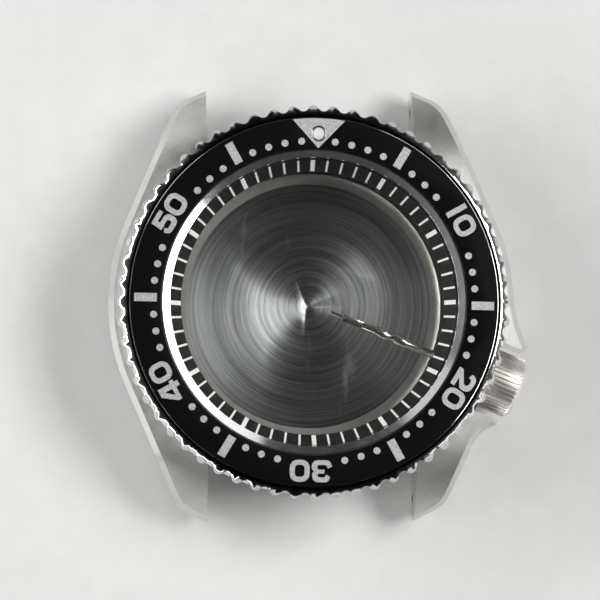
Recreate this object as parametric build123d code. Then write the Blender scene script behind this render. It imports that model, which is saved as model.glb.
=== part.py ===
from build123d import *
from math import acos, asin, atan2, cos, degrees, hypot, radians, sin
import os

# Empty dive watch case, in millimetres. The origin is the centre of the case back's outer face,
# +Z points to the crystal, +Y to 12 o'clock and +X to 3 o'clock.

# Driving sizes
case_width = 42.8
lug_gap = 22.0
lug_overhang = 1.6
case_bottom = 2.1
side_height = 6.1
crown_angle = -22.5
crown_height = 5.4
crown_diameter = 6.5
crown_length = 3.6

# Fits: radial room, or room on one side
press_room = 0.01
running_room = 0.06
thread_room = 0.05
face_room = 0.05
overrun = 1.0

# Mid case
deck_rise = 0.7
deck_inset = 0.4
outer_bevel = 0.6
lower_bevel = 0.45
deck_bevel = 0.25
bevel_slope_limit = 80.0

# Lugs
lug_tip_width = 3.15
lug_tip_slant = 1.6
lug_corner_round = 3.5
lug_tip_top = 3.95
lug_tip_low = 1.2
lug_tip_round = 0.8
lug_slope_length = 8.4
lug_under_length = 4.8
bar_hole_diameter = 1.1
bar_hole_depth = 1.6
bar_hole_inset = 2.4
bar_hole_height = 2.95

# Crown guards and the pocket between them
guard_rise = 1.45
guard_tip_width = 0.55
guard_start_angle = 3.5
guard_end_angle = -42.0
pocket_depth = 1.25
pocket_side_room = 0.65

# Bezel
bezel_inset = 0.9
bezel_rim = 1.08
bezel_rim_rise = 1.1
scallop_count = 60
scallop_depth = 0.65
bezel_brim_width = 0.4
bezel_brim_drop = 0.35
bezel_edge_drop = 0.4
bezel_snap_drop = 1.4
tooth_count = 120
tooth_depth = 0.3
tooth_width = 0.84
tooth_length = 1.0
tooth_band_inset = 1.75

# Bezel insert, its adhesive and its pip
insert_room = 0.2
insert_width = 3.27
insert_thickness = 0.9
insert_bevel = 0.12
insert_lean = -1.6
adhesive_thickness = 0.1
adhesive_inset = 0.24
pip_inset = 1.74
pip_cup_diameter = 1.68
pip_lume_diameter = 1.32
pip_cup_rise = 0.15
pip_floor = 0.2
pip_dome_rise = 0.22

# Crystal and its gasket
crystal_gap = 0.2
crystal_thickness = 2.55
crystal_bevel_width = 0.8
crystal_bevel_depth = 0.5
crystal_base_bevel = 0.1
gasket_wall = 0.5
gasket_lip_width = 0.65
gasket_lip_thickness = 0.25
gasket_height = 1.1

# Neck that carries the bezel
neck_wall = 0.83
neck_lip = 0.15
neck_lip_height = 0.6
neck_bevel = 0.2
neck_top_room = 0.3
bezel_gasket_thickness = 0.6
bezel_gasket_rise = 0.5

# Chapter ring and the seats under it
ring_inset = 0.5
ring_brim_width = 0.35
ring_slope_width = 1.1
ring_depth = 1.8
ring_inner_edge = 0.25
ring_seat_drop = 0.5
ledge_room = 0.15
ledge_thickness = 0.5
dial_seat_step = 0.4
dial_seat_depth = 0.4
cavity_step = 0.25

# Click spring in the deck
click_angle = 60.0
click_span = 24.0
click_width = 0.8
click_thickness = 0.16
click_pocket_depth = 0.55
click_tip_rise = 0.1

# Case back and its gasket
back_inset = 2.4
back_face_inset = 1.7
back_edge_height = 0.9
back_floor = 1.8
back_floor_inset = 0.7
back_rim_width = 1.15
back_rim_drop = 0.65
back_trough_floor = 0.9
back_thread_inset = 3.5
back_skirt_wall = 1.0
back_skirt_height = 1.6
back_step_radius = 4.63
back_step_depth = 0.06
back_dimple_radius = 0.35
back_dimple_depth = 0.1
notch_count = 6
notch_width = 2.6
notch_length = 1.5
notch_depth = 1.1
back_gasket_width = 0.5
back_gasket_height = 0.56
back_gasket_recess = 0.6

# Crown tube, lengths along the crown's axis
tube_inner_room = 0.2
tube_reach = 1.6
tube_bore_radius = 1.0
tube_press_radius = 1.3
tube_thread_radius = 1.7

# Crown
crown_face_room = 0.15
crown_rim_round = 0.5
crown_skirt_bevel = 0.2
crown_end_wall = 0.5
rib_count = 40
rib_depth = 0.22
rib_land_share = 0.56
rib_foot_share = 0.72
socket_flats = 2.6
washer_thickness = 0.2
crown_gasket_place = 0.55
crown_gasket_thickness = 0.5

# Sprung post inside the crown, which holds the stem, and the gasket round it
post_radius = 0.94
post_length = 4.4
post_travel = 0.9
post_head_thickness = 0.4
post_head_flats = 2.5
post_stem_depth = 2.5
post_gasket_place = 0.9
post_gasket_thickness = 0.28

# Spring inside the post
spring_bore_radius = 0.72
spring_bore_depth = 1.6
spring_radius = 0.55
spring_wire = 0.2
spring_pitch = 0.62
spring_quarter_turns = 11

# Winding stem: where each stretch ends from the watch's centre, then its thickness
stem_tip = 2.2
pilot_end = 3.7
square_end = 5.9
round_end = 7.4
inner_collar_end = 8.7
groove_end = 9.6
outer_collar_end = 10.9
pilot_radius = 0.2
square_side = 0.7
round_radius = 0.45
collar_radius = 0.58
groove_radius = 0.34
rod_radius = 0.44
stem_tip_bevel = 0.08
stem_end_room = 0.2

# Radii that follow, from the outside in
case_radius = case_width / 2
lug_to_lug = case_width + 2 * lug_overhang
lug_corner_x = lug_gap / 2 + lug_tip_width
lug_corner_y = lug_to_lug / 2 - lug_tip_slant
guard_reach = case_radius + guard_rise
guard_pocket_width = crown_diameter + 2 * pocket_side_room
pocket_floor = case_radius - pocket_depth
bezel_radius = case_radius - bezel_inset
deck_radius = bezel_radius - deck_inset
insert_recess_radius = bezel_radius - bezel_rim
insert_outer_radius = insert_recess_radius - insert_room
insert_inner_radius = insert_outer_radius - insert_width
pip_distance = insert_outer_radius - pip_inset
crystal_radius = insert_inner_radius - crystal_gap
crystal_bore_radius = crystal_radius + gasket_wall + 2 * press_room
neck_lip_radius = crystal_bore_radius + neck_wall
neck_radius = neck_lip_radius - neck_lip
bezel_bore_radius = neck_lip_radius + running_room
bezel_snap_radius = neck_radius + running_room
tooth_outer_radius = bezel_radius - tooth_band_inset
tooth_inner_radius = tooth_outer_radius - tooth_length
click_radius = (tooth_inner_radius + tooth_outer_radius) / 2
ring_outer_radius = crystal_radius - ring_inset
ring_brim_radius = ring_outer_radius - ring_brim_width
ring_inner_radius = ring_brim_radius - ring_slope_width
ledge_radius = ring_inner_radius + ledge_room
dial_seat_radius = ledge_radius + dial_seat_step
cavity_radius = dial_seat_radius + cavity_step
back_radius = case_radius - back_inset
back_face_radius = back_radius - back_face_inset
back_thread_radius = case_radius - back_thread_inset
back_floor_radius = ring_inner_radius - back_floor_inset
back_rim_radius = back_floor_radius + back_rim_width
back_skirt_inner = back_thread_radius - back_skirt_wall
thread_bore_radius = back_thread_radius + thread_room

# Heights that follow, from the case back's outer face up
back_flange_top = case_bottom - face_room
back_skirt_top = case_bottom + back_skirt_height
thread_bore_top = back_skirt_top + 3 * face_room
shoulder_height = case_bottom + side_height
deck_height = shoulder_height + deck_rise
bezel_base = deck_height + face_room
ring_seat_height = deck_height - ring_seat_drop
dial_seat_height = ring_seat_height - ledge_thickness
crystal_seat_height = ring_seat_height + ring_depth
crystal_base_height = crystal_seat_height + gasket_lip_thickness
crystal_top = crystal_base_height + crystal_thickness
neck_height = crystal_seat_height + gasket_height
neck_lip_start = neck_height - neck_lip_height
bezel_gasket_height = deck_height + bezel_gasket_rise
gasket_groove_half = bezel_gasket_thickness / 2 + press_room
insert_seat_height = neck_height + neck_top_room
bezel_top = insert_seat_height + bezel_rim_rise
bezel_brim_height = bezel_top - bezel_brim_drop
bezel_edge_height = bezel_brim_height - bezel_edge_drop
bezel_snap_height = insert_seat_height - bezel_snap_drop
insert_base = insert_seat_height + adhesive_thickness
insert_top = insert_base + insert_thickness

# Places along the crown's axis that follow, from the watch's centre
crown_radius = crown_diameter / 2
crown_bore_radius = tube_thread_radius + thread_room
crown_start = pocket_floor + crown_face_room
crown_end = crown_start + crown_length
socket_end = crown_end - crown_end_wall
post_head_end = socket_end - face_room
post_head_start = post_head_end - post_head_thickness
washer_seat = post_head_start - post_travel - face_room
washer_start = washer_seat - washer_thickness
tube_start = cavity_radius + tube_inner_room
tube_end = pocket_floor + tube_reach
crown_gasket_middle = crown_start + crown_gasket_place
post_start = post_head_start - post_length
spring_bore_start = post_head_start - spring_bore_depth
stem_bore_end = post_start + post_stem_depth
post_gasket_middle = post_start + post_gasket_place
post_groove_half = post_gasket_thickness / 2 + press_room
stem_end = stem_bore_end - stem_end_room
crown_direction = Vector(cos(radians(crown_angle)), sin(radians(crown_angle)), 0)
crown_plane = Plane(origin=(0, 0, crown_height), x_dir=(0, 0, 1), z_dir=crown_direction)


def turned(points):
    """A closed outline of (radius, height) points, turned round the vertical axis."""
    return revolve(Plane.XZ * make_face(Polyline(*points, close=True)), Axis.Z)


def tube(inner, outer, low, high):
    """A plain ring between two radii and two heights."""
    return turned([(inner, low), (outer, low), (outer, high), (inner, high)])


def rubber_ring(middle, thickness):
    """A ring gasket of eight-sided section round a middle radius, centred on height zero."""
    corners = [polar(thickness / 2 / cos(radians(22.5)), 22.5 + index * 45) for index in range(8)]
    return turned([(middle + x, y) for x, y in corners])


def on_crown_axis(shape):
    """Puts a shape that was made along the vertical axis on the crown's axis."""
    return shape.moved(crown_plane.location)


def polar(radius, angle):
    """A point in the plan from its radius and its angle in degrees."""
    return (radius * cos(radians(angle)), radius * sin(radians(angle)))


def crown_plan(along, across):
    """A point in the plan from its distances along and across the crown's axis."""
    x, y = polar(along, crown_angle)
    side_x, side_y = polar(across, crown_angle + 90)
    return (x + side_x, y + side_y)


def wavy_face(peak, depth, count):
    """A disc whose edge is a chain of round peaks and valleys, as tangent arcs."""
    middle = peak - depth / 2
    step = 360 / count
    edge = []
    for index in range(count):
        start = index * step
        crossing = [polar(middle, start + turn * step) for turn in (-0.25, 0.25, 0.75)]
        edge.append(ThreePointArc(crossing[0], polar(peak, start), crossing[1]))
        valley = polar(peak - depth, start + step / 2)
        edge.append(ThreePointArc(crossing[1], valley, crossing[2]))
    return make_face(Wire(edge))


def ribbed_face(peak, depth, count):
    """A disc with straight-sided ribs round its edge."""
    step = 360 / count
    corners = []
    for index in range(count):
        for share, radius in ((-rib_foot_share, peak - depth), (-rib_land_share, peak),
                              (rib_land_share, peak), (rib_foot_share, peak - depth)):
            corners.append(polar(radius, (index + share / 2) * step))
    return make_face(Polyline(*corners, close=True))


# Mid case

def lug_outline():
    """The right-hand upper lug: tangent to the barrel outside, rounded at the tip's corner."""
    reach = hypot(lug_corner_x, lug_corner_y)
    leaving = degrees(atan2(lug_corner_y, lug_corner_x)) - degrees(acos(case_radius / reach))
    corners = [
        (lug_gap / 2, 0),
        polar(case_radius, leaving),
        (lug_corner_x, lug_corner_y),
        (lug_gap / 2, lug_to_lug / 2),
    ]
    outline = make_face(Polyline(*corners, close=True))
    tip_corner = outline.vertices().sort_by_distance((lug_corner_x, lug_corner_y, 0))[0]
    return fillet(tip_corner, lug_corner_round)


def guard_outline(side):
    """One crown guard, which swells out of the case wall and ends at the crown's pocket."""
    half_pocket = guard_pocket_width / 2
    start_angle = guard_start_angle if side > 0 else guard_end_angle
    leaving = degrees(acos(case_radius / hypot(lug_corner_x, lug_corner_y)))
    lug_angle = leaving - degrees(atan2(lug_corner_y, lug_corner_x))
    if side > 0:
        start = polar(case_radius, start_angle)
        heading = polar(1, start_angle - 90)
    else:
        start = polar(case_radius / cos(radians(start_angle - lug_angle)), start_angle)
        heading = polar(1, lug_angle + 90)
    tip = crown_plan(guard_reach, side * (half_pocket + guard_tip_width))
    corner = crown_plan(guard_reach, side * half_pocket)
    swell = TangentArc(start, tip, tangent=heading)
    rest = Polyline(tip, corner, crown_plan(cavity_radius, side * half_pocket),
                    polar(cavity_radius, start_angle), start)
    return make_face(Wire([swell] + rest.edges()))


def case_outline():
    """The whole plan of the mid case: barrel, four lugs and two crown guards."""
    lug = lug_outline()
    plan = Circle(case_radius) + lug + mirror(lug, Plane.YZ)
    plan += mirror(lug, Plane.XZ) + mirror(mirror(lug, Plane.YZ), Plane.XZ)
    plan += guard_outline(1) + guard_outline(-1)
    strap_room = Rectangle(lug_gap, lug_to_lug + overrun) - Circle(deck_radius)
    pocket_length = guard_reach - pocket_floor + overrun
    pocket = Rectangle(pocket_length, guard_pocket_width)
    pocket_middle = crown_plan(pocket_floor + pocket_length / 2, 0)
    pocket = Pos(*pocket_middle) * Rot(0, 0, crown_angle) * pocket
    return plan - strap_room - pocket


def case_side():
    """The mid case seen from 3 o'clock: flat in the middle, with the lugs turned down."""
    half = lug_to_lug / 2
    slope_start = half - lug_slope_length
    under_start = half - lug_under_length
    start = (slope_start, shoulder_height)
    tip = (half, lug_tip_top)
    low = (half, lug_tip_low + lug_tip_round)
    under = (half - lug_tip_round, lug_tip_low)
    right = [TangentArc(start, tip, tangent=(1, 0)), Line(tip, low), Line(low, under),
             Line(under, (under_start, case_bottom))]
    left = [mirror(edge, Plane.YZ).edge() for edge in right]
    top = Line(start, (-slope_start, shoulder_height))
    bottom = Line((under_start, case_bottom), (-under_start, case_bottom))
    return Plane.YZ * make_face(Wire(right + left + [top, bottom]))


def case_bore():
    """Everything that is open inside the mid case, from the case back to the crystal."""
    steps = [
        (thread_bore_radius + back_gasket_width, case_bottom - overrun),
        (thread_bore_radius + back_gasket_width, case_bottom + back_gasket_recess),
        (thread_bore_radius, case_bottom + back_gasket_recess),
        (thread_bore_radius, thread_bore_top),
        (cavity_radius, thread_bore_top),
        (cavity_radius, dial_seat_height - dial_seat_depth),
        (dial_seat_radius, dial_seat_height - dial_seat_depth),
        (dial_seat_radius, dial_seat_height),
        (ledge_radius, dial_seat_height),
        (ledge_radius, ring_seat_height),
        (ring_outer_radius + press_room, ring_seat_height),
        (ring_outer_radius + press_room, crystal_seat_height),
        (crystal_bore_radius, crystal_seat_height),
        (crystal_bore_radius, neck_height + overrun),
    ]
    return turned([(0, case_bottom - overrun)] + steps + [(0, neck_height + overrun)])


def neck():
    """The round deck and the neck with its snap lip and gasket groove."""
    groove_low = bezel_gasket_height - gasket_groove_half
    groove_high = bezel_gasket_height + gasket_groove_half
    groove_radius_here = neck_radius - gasket_groove_half
    return turned([
        (cavity_radius, case_bottom),
        (deck_radius - deck_bevel, case_bottom),
        (deck_radius, case_bottom + deck_bevel),
        (deck_radius, deck_height - deck_bevel),
        (deck_radius - deck_bevel, deck_height),
        (neck_radius, deck_height),
        (neck_radius, groove_low),
        (groove_radius_here, groove_low),
        (groove_radius_here, groove_high),
        (neck_radius, groove_high),
        (neck_radius, neck_lip_start),
        (neck_lip_radius, neck_lip_start),
        (neck_lip_radius, neck_height - neck_bevel),
        (neck_lip_radius - neck_bevel, neck_height),
        (cavity_radius, neck_height),
    ])


def click_pocket(room):
    """The curved pocket of the click spring, or with no room its outline in the deck."""
    half_width = click_width / 2 + room
    half_span = click_span / 2 + degrees(room / click_radius)
    start = click_angle - half_span
    finish = click_angle + half_span
    inner = click_radius - half_width
    outer = click_radius + half_width
    edge = [
        ThreePointArc(polar(inner, start), polar(inner, click_angle), polar(inner, finish)),
        Line(polar(inner, finish), polar(outer, finish)),
        ThreePointArc(polar(outer, finish), polar(outer, click_angle), polar(outer, start)),
        Line(polar(outer, start), polar(inner, start)),
    ]
    return make_face(Wire(edge))


def make_mid_case():
    height = shoulder_height - lug_tip_low
    body = Pos(0, 0, lug_tip_low) * extrude(case_outline(), height)
    body = body & extrude(case_side(), case_width, both=True)
    strap_room = Box(lug_gap, lug_to_lug, case_bottom - lug_tip_low,
                     align=(Align.CENTER, Align.CENTER, Align.MIN))
    body = bevel_case(body - Pos(0, 0, lug_tip_low) * strap_room)
    body = body + neck()
    pocket_room = Box(guard_reach, guard_pocket_width, deck_height,
                      align=(Align.MIN, Align.CENTER, Align.MIN))
    pocket_room = Pos(*crown_plan(pocket_floor, 0), lug_tip_low) * Rot(0, 0, crown_angle) * pocket_room
    body = body - pocket_room - case_bore()
    tube_hole = Cylinder(tube_press_radius + press_room, case_radius - cavity_radius + overrun,
                         align=(Align.CENTER, Align.CENTER, Align.MIN))
    body = body - on_crown_axis(Pos(0, 0, cavity_radius - overrun / 2) * tube_hole)
    body = body - Pos(0, 0, deck_height - click_pocket_depth) * extrude(
        click_pocket(face_room), click_pocket_depth + overrun)
    bar_hole = Cylinder(bar_hole_diameter / 2, lug_gap + 2 * bar_hole_depth)
    for side in (1, -1):
        place = (0, side * (lug_to_lug / 2 - bar_hole_inset), bar_hole_height)
        body = body - Pos(*place) * Rot(0, 90, 0) * bar_hole
    return body


def in_pocket(point):
    """Whether a point lies on a wall of the crown's pocket."""
    along = point.dot(crown_direction)
    across = crown_direction.X * point.Y - crown_direction.Y * point.X
    return along > 0 and abs(across) < guard_pocket_width / 2 + guard_tip_width / 4


def is_outer_top(edge):
    """Whether an edge lies along the outer rim of the shoulder or of a lug's top."""
    middle = edge @ 0.5
    level = abs((edge % 0.5).Z) < sin(radians(bevel_slope_limit))
    high = middle.Z > (lug_tip_top + lug_tip_low) / 2 + lug_tip_round
    outside_lugs = abs(middle.X) > lug_gap / 2 + face_room
    return high and level and outside_lugs and not in_pocket(middle)


def is_outer_low(edge):
    """Whether an edge lies along the outer rim of the flat underside."""
    middle = edge @ 0.5
    run = edge % 0.5
    level = abs(middle.Z - case_bottom) < face_room and abs(run.Z) < face_room
    outside = hypot(middle.X, middle.Y) > deck_radius + face_room
    along_side = abs(run.Y) > face_room and abs(middle.X) > lug_gap / 2 + face_room
    return level and outside and along_side and not in_pocket(middle)


def bevel_case(body):
    """The bright bevels along the outer edges, above and below."""
    body = chamfer(body.edges().filter_by(is_outer_top), outer_bevel)
    return chamfer(body.edges().filter_by(is_outer_low), lower_bevel)


# Crystal, its gasket and the chapter ring

def make_crystal():
    return turned([
        (0, crystal_base_height),
        (crystal_radius - crystal_base_bevel, crystal_base_height),
        (crystal_radius, crystal_base_height + crystal_base_bevel),
        (crystal_radius, crystal_top - crystal_bevel_depth),
        (crystal_radius - crystal_bevel_width, crystal_top),
        (0, crystal_top),
    ])


def make_crystal_gasket():
    lip_top = crystal_base_height - press_room
    inner = crystal_radius + press_room
    outer = crystal_bore_radius - press_room
    lip = crystal_radius - gasket_lip_width
    return turned([
        (lip, crystal_seat_height + press_room),
        (outer, crystal_seat_height + press_room),
        (outer, neck_height),
        (inner, neck_height),
        (inner, lip_top),
        (lip, lip_top),
    ])


def make_chapter_ring():
    top = crystal_seat_height - press_room
    return turned([
        (ring_inner_radius, ring_seat_height),
        (ring_outer_radius, ring_seat_height),
        (ring_outer_radius, top),
        (ring_brim_radius, top),
        (ring_inner_radius, ring_seat_height + ring_inner_edge),
    ])


# Bezel and what it carries

def bezel_profile():
    """The bezel's section, before its scallops and teeth are cut."""
    relief_radius = neck_radius + gasket_groove_half + running_room
    relief_top = bezel_gasket_height + gasket_groove_half + running_room
    return turned([
        (relief_radius, bezel_base),
        (bezel_radius, bezel_base),
        (bezel_radius, bezel_edge_height),
        (bezel_radius - bezel_brim_width, bezel_brim_height),
        (insert_recess_radius, bezel_top),
        (insert_recess_radius, insert_seat_height),
        (bezel_bore_radius, insert_seat_height),
        (bezel_bore_radius, bezel_snap_height),
        (bezel_snap_radius, bezel_snap_height),
        (bezel_snap_radius, relief_top),
        (relief_radius, relief_top),
    ])


def ratchet_notches():
    """The valleys between the ratchet teeth under the bezel, each with one steep flank."""
    low = bezel_base - tooth_depth
    flank = Plane.XZ * make_face(Polyline(
        (0, low), (0, bezel_base + tooth_depth),
        (tooth_width, bezel_base), (tooth_width, low), close=True))
    notch = extrude(flank, tooth_outer_radius - tooth_inner_radius)
    notch = Rot(0, 0, -90) * notch
    notch = notch.moved(Location((-tooth_inner_radius, -tooth_width / 2, 0)))
    step = 360 / tooth_count
    return [Rot(0, 0, index * step + click_angle) * notch for index in range(tooth_count)]


def make_bezel():
    rim = Pos(0, 0, bezel_base) * extrude(
        wavy_face(bezel_radius, scallop_depth, scallop_count), bezel_top - bezel_base)
    return (rim & bezel_profile()) - ratchet_notches()


def on_insert(shape):
    """Turns a piece of the insert by the small lean that the insert was glued with."""
    return Rot(0, 0, insert_lean) * shape


def make_bezel_insert():
    ring = turned([
        (insert_inner_radius, insert_base),
        (insert_outer_radius, insert_base),
        (insert_outer_radius, insert_top - insert_bevel),
        (insert_outer_radius - insert_bevel, insert_top),
        (insert_inner_radius, insert_top),
    ])
    hole = Cylinder(pip_cup_diameter / 2 + press_room, overrun + insert_top - insert_base)
    return ring - on_insert(Pos(0, pip_distance, (insert_top + insert_base) / 2) * hole)


def make_insert_adhesive():
    return tube(bezel_bore_radius + adhesive_inset, insert_outer_radius - insert_bevel,
                insert_seat_height, insert_base)


def make_pip_cup():
    outer = pip_cup_diameter / 2
    inner = pip_lume_diameter / 2
    top = insert_top + pip_cup_rise
    cup = turned([
        (0, insert_base), (outer, insert_base), (outer, top - pip_cup_rise / 2),
        (outer - pip_cup_rise / 2, top), (inner, top), (inner, insert_base + pip_floor),
        (0, insert_base + pip_floor),
    ])
    return on_insert(Pos(0, pip_distance, 0) * cup)


def make_pip_lume():
    radius = pip_lume_diameter / 2 - press_room
    low = insert_base + pip_floor
    side = insert_top
    ball = (radius ** 2 + pip_dome_rise ** 2) / (2 * pip_dome_rise)
    half_turn = asin(radius / ball) / 2
    dome = (ball * sin(half_turn), side + pip_dome_rise - ball * (1 - cos(half_turn)))
    outline = Wire([
        Line((0, low), (radius, low)), Line((radius, low), (radius, side)),
        ThreePointArc((radius, side), dome, (0, side + pip_dome_rise)),
        Line((0, side + pip_dome_rise), (0, low)),
    ])
    return on_insert(Pos(0, pip_distance, 0) * revolve(Plane.XZ * make_face(outline), Axis.Z))


def make_bezel_gasket():
    return Pos(0, 0, bezel_gasket_height) * rubber_ring(neck_radius, bezel_gasket_thickness)


def make_click_spring():
    """A curved steel leaf in the deck's pocket, whose raised tip rests in a tooth valley."""
    leaf_low = deck_height - click_pocket_depth
    leaf = Pos(0, 0, leaf_low) * extrude(click_pocket(0), click_thickness)
    top = bezel_base + click_tip_rise
    post_side = Box(click_width, click_thickness, top - leaf_low,
                    align=(Align.CENTER, Align.CENTER, Align.MIN))
    tip = Pos(*polar(click_radius, click_angle + click_span / 2 - degrees(click_thickness / click_radius)),
              leaf_low) * Rot(0, 0, click_angle + click_span / 2) * post_side
    return leaf + tip


# Case back

def make_case_back():
    """A threaded skirt round a raised inner plateau with a sloped rim, and key notches outside."""
    step_floor = back_floor - back_step_depth
    back = turned([
        (0, 0), (back_face_radius, 0), (back_radius, back_edge_height),
        (back_radius, back_flange_top), (back_thread_radius, back_flange_top),
        (back_thread_radius, back_skirt_top), (back_skirt_inner, back_skirt_top),
        (back_skirt_inner, back_trough_floor), (back_rim_radius, back_trough_floor),
        (back_rim_radius, back_floor - back_rim_drop), (back_floor_radius, back_floor),
        (back_step_radius + back_step_depth, back_floor), (back_step_radius, step_floor),
        (back_dimple_radius, step_floor), (0, step_floor - back_dimple_depth),
    ])
    notch = Box(notch_length + overrun, notch_width, notch_depth,
                align=(Align.MIN, Align.CENTER, Align.MIN))
    notch = Pos(back_radius - notch_length, 0, 0) * notch
    return back - [Rot(0, 0, index * 360 / notch_count) * notch for index in range(notch_count)]


def make_case_back_gasket():
    low = back_flange_top + press_room
    inner = back_thread_radius + press_room
    return tube(inner, inner + back_gasket_width, low, low + back_gasket_height)


# Crown, tube and stem

def make_crown_tube():
    return on_crown_axis(turned([
        (tube_bore_radius, tube_start), (tube_press_radius, tube_start),
        (tube_press_radius, pocket_floor), (tube_thread_radius, pocket_floor),
        (tube_thread_radius, tube_end - thread_room), (tube_thread_radius - thread_room, tube_end),
        (tube_bore_radius, tube_end),
    ]))


def hexagon(flats, low, high):
    """A hexagonal bar of a given width across its flats."""
    return Pos(0, 0, low) * extrude(RegularPolygon(flats / 2, 6, major_radius=False), high - low)


def make_crown_shell():
    groove_low = crown_gasket_middle - crown_gasket_thickness / 2 - press_room
    groove_high = crown_gasket_middle + crown_gasket_thickness / 2 + press_room
    groove_out = tube_thread_radius + press_room + crown_gasket_thickness + press_room
    body = turned([
        (crown_bore_radius, crown_start), (crown_radius - crown_skirt_bevel, crown_start),
        (crown_radius, crown_start + crown_skirt_bevel), (crown_radius, crown_end - crown_rim_round),
        (crown_radius - crown_rim_round, crown_end), (0, crown_end), (0, washer_seat),
        (crown_bore_radius, washer_seat), (crown_bore_radius, groove_high),
        (groove_out, groove_high), (groove_out, groove_low), (crown_bore_radius, groove_low),
    ])
    ribbed = Pos(0, 0, crown_start) * extrude(
        ribbed_face(crown_radius, rib_depth, rib_count), crown_end - crown_start)
    body = (body & ribbed) - hexagon(socket_flats, washer_seat - press_room, socket_end)
    return on_crown_axis(body)


def make_crown_washer():
    return on_crown_axis(tube(
        post_radius + running_room, crown_bore_radius - press_room, washer_start, washer_seat - press_room))


def make_crown_gasket():
    middle = tube_thread_radius + press_room + crown_gasket_thickness / 2
    return on_crown_axis(Pos(0, 0, crown_gasket_middle) * rubber_ring(middle, crown_gasket_thickness))


def make_post_gasket():
    middle = tube_bore_radius - press_room - post_gasket_thickness / 2
    return on_crown_axis(Pos(0, 0, post_gasket_middle) * rubber_ring(middle, post_gasket_thickness))


def make_crown_post():
    groove_floor = tube_bore_radius - 2 * press_room - post_gasket_thickness
    groove_low = post_gasket_middle - post_groove_half
    groove_high = post_gasket_middle + post_groove_half
    shaft = turned([
        (rod_radius + press_room, post_start), (post_radius, post_start), (post_radius, groove_low),
        (groove_floor, groove_low), (groove_floor, groove_high), (post_radius, groove_high),
        (post_radius, post_head_start),
        (spring_bore_radius, post_head_start), (spring_bore_radius, spring_bore_start),
        (0, spring_bore_start), (0, stem_bore_end), (rod_radius + press_room, stem_bore_end),
    ])
    head = hexagon(post_head_flats, post_head_start, post_head_end)
    head = head - tube(0, spring_bore_radius, post_head_start, post_head_end)
    return on_crown_axis(shaft + head)


def make_crown_spring():
    """One unbroken helix of quarter-turn pieces between the post and the crown's end wall."""
    start = spring_bore_start + spring_wire / 2 + press_room
    height = spring_quarter_turns * spring_pitch / 4
    route = Pos(0, 0, start) * Helix(spring_pitch, height, spring_radius)
    section = Plane(route @ 0, x_dir=(1, 0, 0), z_dir=route % 0) * Rectangle(spring_wire, spring_wire)
    print("spring: least gap between its turns", round(spring_pitch - spring_wire, 3), "mm")
    return on_crown_axis(sweep(section, route, is_frenet=True))


def make_winding_stem():
    square = Pos(0, 0, pilot_end) * extrude(Rectangle(square_side, square_side), square_end - pilot_end)
    pilot = turned([
        (0, stem_tip), (pilot_radius - stem_tip_bevel, stem_tip),
        (pilot_radius, stem_tip + stem_tip_bevel), (pilot_radius, pilot_end), (0, pilot_end),
    ])
    rest = turned([
        (0, square_end), (round_radius, square_end), (round_radius, round_end),
        (collar_radius, round_end), (collar_radius, inner_collar_end),
        (groove_radius, inner_collar_end), (groove_radius, groove_end), (collar_radius, groove_end),
        (collar_radius, outer_collar_end), (rod_radius, outer_collar_end), (rod_radius, stem_end),
        (0, stem_end),
    ])
    return on_crown_axis(pilot + square + rest)


nodes = {
    "mid_case": make_mid_case,
    "crown_tube": make_crown_tube,
    "crystal": make_crystal,
    "crystal_gasket": make_crystal_gasket,
    "chapter_ring": make_chapter_ring,
    "bezel": make_bezel,
    "bezel_insert": make_bezel_insert,
    "insert_adhesive": make_insert_adhesive,
    "pip_cup": make_pip_cup,
    "pip_lume": make_pip_lume,
    "bezel_gasket": make_bezel_gasket,
    "click_spring": make_click_spring,
    "case_back": make_case_back,
    "case_back_gasket": make_case_back_gasket,
    "crown_shell": make_crown_shell,
    "crown_washer": make_crown_washer,
    "crown_gasket": make_crown_gasket,
    "post_gasket": make_post_gasket,
    "crown_post": make_crown_post,
    "crown_spring": make_crown_spring,
    "winding_stem": make_winding_stem,
}

os.makedirs("parts", exist_ok=True)
for name, make in nodes.items():
    shape = make()
    solids = shape.solids()
    print(name, "solids", len(solids), "volume", round(shape.volume, 3))
    export_step(solids[0] if len(solids) == 1 else Compound(solids), f"parts/{name}.step")
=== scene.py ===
from math import cos, pi, radians, sin
import bpy
from mathutils import Matrix, Vector


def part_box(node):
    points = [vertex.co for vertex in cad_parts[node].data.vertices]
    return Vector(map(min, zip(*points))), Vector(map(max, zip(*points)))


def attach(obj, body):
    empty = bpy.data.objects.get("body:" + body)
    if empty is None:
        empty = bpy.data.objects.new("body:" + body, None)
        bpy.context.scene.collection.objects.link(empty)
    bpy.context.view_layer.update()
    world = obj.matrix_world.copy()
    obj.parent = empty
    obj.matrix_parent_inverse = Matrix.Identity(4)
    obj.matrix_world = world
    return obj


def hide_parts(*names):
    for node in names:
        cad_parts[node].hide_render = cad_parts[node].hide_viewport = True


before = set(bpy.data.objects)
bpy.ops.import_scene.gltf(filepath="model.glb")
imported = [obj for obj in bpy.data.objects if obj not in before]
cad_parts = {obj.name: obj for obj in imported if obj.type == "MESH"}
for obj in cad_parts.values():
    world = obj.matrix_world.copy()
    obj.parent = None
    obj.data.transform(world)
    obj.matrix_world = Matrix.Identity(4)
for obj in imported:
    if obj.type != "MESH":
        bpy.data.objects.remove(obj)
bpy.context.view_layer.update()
scene = bpy.context.scene
mm = 0.001


# used by the helpers below: how near vertices merge, and angles in degrees
meshLook = {"weld": 0.0005 * mm, "cadWeld": 0.002 * mm, "flatAngle": 0.1,
            "smoothAngle": 40, "normalReach": 0.003 * mm, "faceWeight": 100}


def deselectAll():
    if bpy.context.object and bpy.context.object.mode != "OBJECT":
        bpy.ops.object.mode_set(mode="OBJECT")
    bpy.ops.object.select_all(action="DESELECT")


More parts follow.
